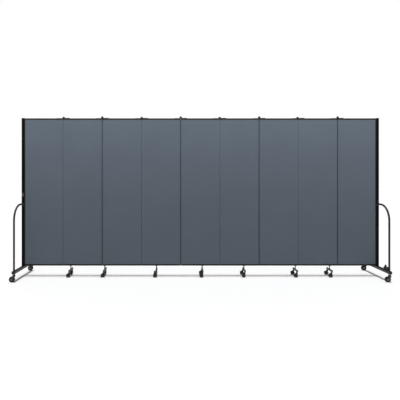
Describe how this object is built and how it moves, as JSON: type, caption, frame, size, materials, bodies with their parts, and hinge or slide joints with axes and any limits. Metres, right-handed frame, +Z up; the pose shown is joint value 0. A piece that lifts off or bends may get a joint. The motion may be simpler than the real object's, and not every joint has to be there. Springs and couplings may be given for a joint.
{
  "type": "folding partition wall",
  "caption": "Free-standing folding partition wall on casters: hinged fabric panels between black rails, end posts on braced base legs, small rolling feet.",
  "frame": {"origin": "on the floor under the middle of the footprint, with every wheel standing on z = 0", "axes": "+Z up, +X to the right along the row of panels seen from the front, -Y the front face with the latch"},
  "size_m": [5.1424, 0.71, 2.279],
  "materials": {
    "panel_fabric": "woven, matt",
    "frame_black": "satin powder coat",
    "base_black": "satin powder coat",
    "latch_black": "fine texture",
    "latch_grey": "smooth",
    "caster_steel": "black plated",
    "caster_black": "moulded",
    "wheel_grey": "grey hub with a dark tyre",
    "wheel_black": "moulded"
  },
  "bodies": {
    "panel_1": {"panel_1_board": "panel_fabric", "panel_1_frame": "frame_black", "end_post_left": "frame_black", "end_base_left": "base_black", "latch_plate": "latch_black"},
    "panel_2": {"panel_2_board": "panel_fabric", "panel_2_frame": "frame_black"},
    "panel_3": {"panel_3_board": "panel_fabric", "panel_3_frame": "frame_black"},
    "panel_4": {"panel_4_board": "panel_fabric", "panel_4_frame": "frame_black"},
    "panel_5": {"panel_5_board": "panel_fabric", "panel_5_frame": "frame_black"},
    "panel_6": {"panel_6_board": "panel_fabric", "panel_6_frame": "frame_black"},
    "panel_7": {"panel_7_board": "panel_fabric", "panel_7_frame": "frame_black"},
    "panel_8": {"panel_8_board": "panel_fabric", "panel_8_frame": "frame_black"},
    "panel_9": {"panel_9_board": "panel_fabric", "panel_9_frame": "frame_black", "end_post_right": "frame_black", "end_base_right": "base_black"},
    "latch_knob": {"latch_knob": "latch_grey"},
    "caster_left_front": {"caster_left_front": "caster_steel"},
    "wheel_left_front": {"wheel_left_front": "wheel_grey"},
    "caster_left_rear": {"caster_left_rear": "caster_steel"},
    "wheel_left_rear": {"wheel_left_rear": "wheel_grey"},
    "caster_right_front": {"caster_right_front": "caster_steel"},
    "wheel_right_front": {"wheel_right_front": "wheel_grey"},
    "caster_right_rear": {"caster_right_rear": "caster_steel"},
    "wheel_right_rear": {"wheel_right_rear": "wheel_grey"},
    "caster_2_front": {"caster_2_front": "caster_black"},
    "wheel_2_front": {"wheel_2_front": "wheel_black"},
    "caster_2_rear": {"caster_2_rear": "caster_black"},
    "wheel_2_rear": {"wheel_2_rear": "wheel_black"},
    "caster_3_front": {"caster_3_front": "caster_black"},
    "wheel_3_front": {"wheel_3_front": "wheel_black"},
    "caster_3_rear": {"caster_3_rear": "caster_black"},
    "wheel_3_rear": {"wheel_3_rear": "wheel_black"},
    "caster_4_front": {"caster_4_front": "caster_black"},
    "wheel_4_front": {"wheel_4_front": "wheel_black"},
    "caster_4_rear": {"caster_4_rear": "caster_black"},
    "wheel_4_rear": {"wheel_4_rear": "wheel_black"},
    "caster_5_front": {"caster_5_front": "caster_black"},
    "wheel_5_front": {"wheel_5_front": "wheel_black"},
    "caster_5_rear": {"caster_5_rear": "caster_black"},
    "wheel_5_rear": {"wheel_5_rear": "wheel_black"},
    "caster_6_front": {"caster_6_front": "caster_black"},
    "wheel_6_front": {"wheel_6_front": "wheel_black"},
    "caster_6_rear": {"caster_6_rear": "caster_black"},
    "wheel_6_rear": {"wheel_6_rear": "wheel_black"},
    "caster_7_front": {"caster_7_front": "caster_black"},
    "wheel_7_front": {"wheel_7_front": "wheel_black"},
    "caster_7_rear": {"caster_7_rear": "caster_black"},
    "wheel_7_rear": {"wheel_7_rear": "wheel_black"},
    "caster_8_front": {"caster_8_front": "caster_black"},
    "wheel_8_front": {"wheel_8_front": "wheel_black"},
    "caster_8_rear": {"caster_8_rear": "caster_black"},
    "wheel_8_rear": {"wheel_8_rear": "wheel_black"}
  },
  "joints": [
    {"name": "hinge_4", "type": "hinge", "parent": "panel_5", "child": "panel_4", "pos_m": [-0.25875, -0.01975, 1.2], "axis": [0, 0, 1], "range_deg": [0, 180]},
    {"name": "hinge_3", "type": "hinge", "parent": "panel_4", "child": "panel_3", "pos_m": [-0.81875, 0.01975, 1.2], "axis": [0, 0, -1], "range_deg": [0, 180]},
    {"name": "hinge_2", "type": "hinge", "parent": "panel_3", "child": "panel_2", "pos_m": [-1.37875, -0.01975, 1.2], "axis": [0, 0, 1], "range_deg": [0, 180]},
    {"name": "hinge_1", "type": "hinge", "parent": "panel_2", "child": "panel_1", "pos_m": [-1.93875, 0.01975, 1.2], "axis": [0, 0, -1], "range_deg": [0, 180]},
    {"name": "hinge_5", "type": "hinge", "parent": "panel_5", "child": "panel_6", "pos_m": [0.30125, 0.01975, 1.2], "axis": [0, 0, 1], "range_deg": [0, 180]},
    {"name": "hinge_6", "type": "hinge", "parent": "panel_6", "child": "panel_7", "pos_m": [0.86125, -0.01975, 1.2], "axis": [0, 0, -1], "range_deg": [0, 180]},
    {"name": "hinge_7", "type": "hinge", "parent": "panel_7", "child": "panel_8", "pos_m": [1.42125, 0.01975, 1.2], "axis": [0, 0, 1], "range_deg": [0, 180]},
    {"name": "hinge_8", "type": "hinge", "parent": "panel_8", "child": "panel_9", "pos_m": [1.98125, -0.01975, 1.2], "axis": [0, 0, -1], "range_deg": [0, 180]},
    {"name": "latch_turn", "type": "hinge", "parent": "panel_1", "child": "latch_knob", "pos_m": [-2.50775, -0.022, 1.164], "axis": [0, -1, 0], "range_deg": [0, 90]},
    {"name": "swivel_left_front", "type": "hinge", "parent": "panel_1", "child": "caster_left_front", "pos_m": [-2.50775, -0.33, 0.07], "axis": [0, 0, 1], "continuous": true},
    {"name": "spin_left_front", "type": "hinge", "parent": "caster_left_front", "child": "wheel_left_front", "pos_m": [-2.53375, -0.33, 0.0375], "axis": [0, 1, 0], "continuous": true},
    {"name": "swivel_left_rear", "type": "hinge", "parent": "panel_1", "child": "caster_left_rear", "pos_m": [-2.50775, 0.33, 0.07], "axis": [0, 0, 1], "continuous": true},
    {"name": "spin_left_rear", "type": "hinge", "parent": "caster_left_rear", "child": "wheel_left_rear", "pos_m": [-2.53375, 0.33, 0.0375], "axis": [0, 1, 0], "continuous": true},
    {"name": "swivel_right_front", "type": "hinge", "parent": "panel_9", "child": "caster_right_front", "pos_m": [2.55025, -0.33, 0.07], "axis": [0, 0, 1], "continuous": true},
    {"name": "spin_right_front", "type": "hinge", "parent": "caster_right_front", "child": "wheel_right_front", "pos_m": [2.52425, -0.33, 0.0375], "axis": [0, 1, 0], "continuous": true},
    {"name": "swivel_right_rear", "type": "hinge", "parent": "panel_9", "child": "caster_right_rear", "pos_m": [2.55025, 0.33, 0.07], "axis": [0, 0, 1], "continuous": true},
    {"name": "spin_right_rear", "type": "hinge", "parent": "caster_right_rear", "child": "wheel_right_rear", "pos_m": [2.52425, 0.33, 0.0375], "axis": [0, 1, 0], "continuous": true},
    {"name": "swivel_2_front", "type": "hinge", "parent": "panel_2", "child": "caster_2_front", "pos_m": [-1.83075, -0.078, 0.07], "axis": [0, 0, 1], "continuous": true},
    {"name": "spin_2_front", "type": "hinge", "parent": "caster_2_front", "child": "wheel_2_front", "pos_m": [-1.84875, -0.078, 0.025], "axis": [0, 1, 0], "continuous": true},
    {"name": "swivel_2_rear", "type": "hinge", "parent": "panel_2", "child": "caster_2_rear", "pos_m": [-1.83075, 0.078, 0.07], "axis": [0, 0, 1], "continuous": true},
    {"name": "spin_2_rear", "type": "hinge", "parent": "caster_2_rear", "child": "wheel_2_rear", "pos_m": [-1.84875, 0.078, 0.025], "axis": [0, 1, 0], "continuous": true},
    {"name": "swivel_3_front", "type": "hinge", "parent": "panel_3", "child": "caster_3_front", "pos_m": [-1.34475, -0.078, 0.07], "axis": [0, 0, 1], "continuous": true},
    {"name": "spin_3_front", "type": "hinge", "parent": "caster_3_front", "child": "wheel_3_front", "pos_m": [-1.36275, -0.078, 0.025], "axis": [0, 1, 0], "continuous": true},
    {"name": "swivel_3_rear", "type": "hinge", "parent": "panel_3", "child": "caster_3_rear", "pos_m": [-1.34475, 0.078, 0.07], "axis": [0, 0, 1], "continuous": true},
    {"name": "spin_3_rear", "type": "hinge", "parent": "caster_3_rear", "child": "wheel_3_rear", "pos_m": [-1.36275, 0.078, 0.025], "axis": [0, 1, 0], "continuous": true},
    {"name": "swivel_4_front", "type": "hinge", "parent": "panel_4", "child": "caster_4_front", "pos_m": [-0.60475, -0.078, 0.07], "axis": [0, 0, 1], "continuous": true},
    {"name": "spin_4_front", "type": "hinge", "parent": "caster_4_front", "child": "wheel_4_front", "pos_m": [-0.62275, -0.078, 0.025], "axis": [0, 1, 0], "continuous": true},
    {"name": "swivel_4_rear", "type": "hinge", "parent": "panel_4", "child": "caster_4_rear", "pos_m": [-0.60475, 0.078, 0.07], "axis": [0, 0, 1], "continuous": true},
    {"name": "spin_4_rear", "type": "hinge", "parent": "caster_4_rear", "child": "wheel_4_rear", "pos_m": [-0.62275, 0.078, 0.025], "axis": [0, 1, 0], "continuous": true},
    {"name": "swivel_5_front", "type": "hinge", "parent": "panel_5", "child": "caster_5_front", "pos_m": [0.05125, -0.078, 0.07], "axis": [0, 0, 1], "continuous": true},
    {"name": "spin_5_front", "type": "hinge", "parent": "caster_5_front", "child": "wheel_5_front", "pos_m": [0.03325, -0.078, 0.025], "axis": [0, 1, 0], "continuous": true},
    {"name": "swivel_5_rear", "type": "hinge", "parent": "panel_5", "child": "caster_5_rear", "pos_m": [0.05125, 0.078, 0.07], "axis": [0, 0, 1], "continuous": true},
    {"name": "spin_5_rear", "type": "hinge", "parent": "caster_5_rear", "child": "wheel_5_rear", "pos_m": [0.03325, 0.078, 0.025], "axis": [0, 1, 0], "continuous": true},
    {"name": "swivel_6_front", "type": "hinge", "parent": "panel_6", "child": "caster_6_front", "pos_m": [0.64725, -0.078, 0.07], "axis": [0, 0, 1], "continuous": true},
    {"name": "spin_6_front", "type": "hinge", "parent": "caster_6_front", "child": "wheel_6_front", "pos_m": [0.62925, -0.078, 0.025], "axis": [0, 1, 0], "continuous": true},
    {"name": "swivel_6_rear", "type": "hinge", "parent": "panel_6", "child": "caster_6_rear", "pos_m": [0.64725, 0.078, 0.07], "axis": [0, 0, 1], "continuous": true},
    {"name": "spin_6_rear", "type": "hinge", "parent": "caster_6_rear", "child": "wheel_6_rear", "pos_m": [0.62925, 0.078, 0.025], "axis": [0, 1, 0], "continuous": true},
    {"name": "swivel_7_front", "type": "hinge", "parent": "panel_7", "child": "caster_7_front", "pos_m": [1.38325, -0.078, 0.07], "axis": [0, 0, 1], "continuous": true},
    {"name": "spin_7_front", "type": "hinge", "parent": "caster_7_front", "child": "wheel_7_front", "pos_m": [1.36525, -0.078, 0.025], "axis": [0, 1, 0], "continuous": true},
    {"name": "swivel_7_rear", "type": "hinge", "parent": "panel_7", "child": "caster_7_rear", "pos_m": [1.38325, 0.078, 0.07], "axis": [0, 0, 1], "continuous": true},
    {"name": "spin_7_rear", "type": "hinge", "parent": "caster_7_rear", "child": "wheel_7_rear", "pos_m": [1.36525, 0.078, 0.025], "axis": [0, 1, 0], "continuous": true},
    {"name": "swivel_8_front", "type": "hinge", "parent": "panel_8", "child": "caster_8_front", "pos_m": [1.87325, -0.078, 0.07], "axis": [0, 0, 1], "continuous": true},
    {"name": "spin_8_front", "type": "hinge", "parent": "caster_8_front", "child": "wheel_8_front", "pos_m": [1.85525, -0.078, 0.025], "axis": [0, 1, 0], "continuous": true},
    {"name": "swivel_8_rear", "type": "hinge", "parent": "panel_8", "child": "caster_8_rear", "pos_m": [1.87325, 0.078, 0.07], "axis": [0, 0, 1], "continuous": true},
    {"name": "spin_8_rear", "type": "hinge", "parent": "caster_8_rear", "child": "wheel_8_rear", "pos_m": [1.85525, 0.078, 0.025], "axis": [0, 1, 0], "continuous": true}
  ],
  "couplings": [
    {"joint": "hinge_3", "follows": "hinge_4", "ratio": 1},
    {"joint": "hinge_2", "follows": "hinge_4", "ratio": 1},
    {"joint": "hinge_1", "follows": "hinge_4", "ratio": 1},
    {"joint": "hinge_5", "follows": "hinge_4", "ratio": 1},
    {"joint": "hinge_6", "follows": "hinge_4", "ratio": 1},
    {"joint": "hinge_7", "follows": "hinge_4", "ratio": 1},
    {"joint": "hinge_8", "follows": "hinge_4", "ratio": 1}
  ]
}
